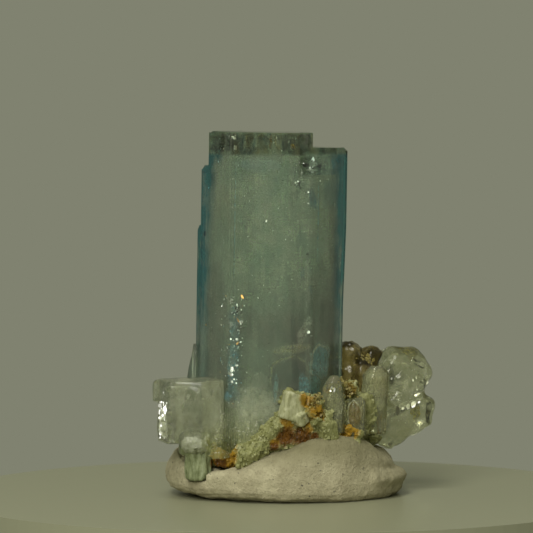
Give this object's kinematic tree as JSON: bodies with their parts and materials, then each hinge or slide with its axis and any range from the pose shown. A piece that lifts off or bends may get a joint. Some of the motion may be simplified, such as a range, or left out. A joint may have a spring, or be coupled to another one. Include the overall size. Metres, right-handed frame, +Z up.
{
  "type": "aquamarine crystal specimen",
  "caption": "Stepped six-sided blue-green beryl prism standing in a crust of granular feldspar and clear quartz, held upright by a lump of putty.",
  "frame": {"origin": "centre of the flat underside of the putty lump", "axes": "+Z up along the crystal, -Y towards the display side, +X to the right as displayed"},
  "size_m": [0.0281, 0.0206, 0.0363],
  "materials": {
    "aquamarine": "transparent pale blue-green beryl with finely striated side faces, glassy",
    "inclusions": "tiny mirror-like fractures, tubes and mineral grains sealed in the crystals",
    "clear_quartz": "colourless transparent quartz, glassy, with a few cracks",
    "stained_quartz": "quartz with brown iron staining on its faces",
    "fluted_stub": "pale green translucent broken crystal with fluted sides",
    "milky_quartz": "milky translucent quartz",
    "feldspar": "pale greenish-white granular feldspar with ochre and rust-coloured iron stains",
    "putty": "matte grey-beige display putty with fine pits and dark specks"
  },
  "bodies": {
    "root": {"aquamarine_prism": "aquamarine", "clear_crystal_left": "clear_quartz", "clear_point_right": "clear_quartz", "clear_column_right": "clear_quartz", "clear_column_side": "clear_quartz", "clear_crystals_rear": "clear_quartz", "stained_crystals": "stained_quartz", "fluted_stub": "fluted_stub", "milky_quartz_foot": "milky_quartz", "granular_feldspar": "feldspar", "putty_lump": "putty"}
  },
  "joints": []
}
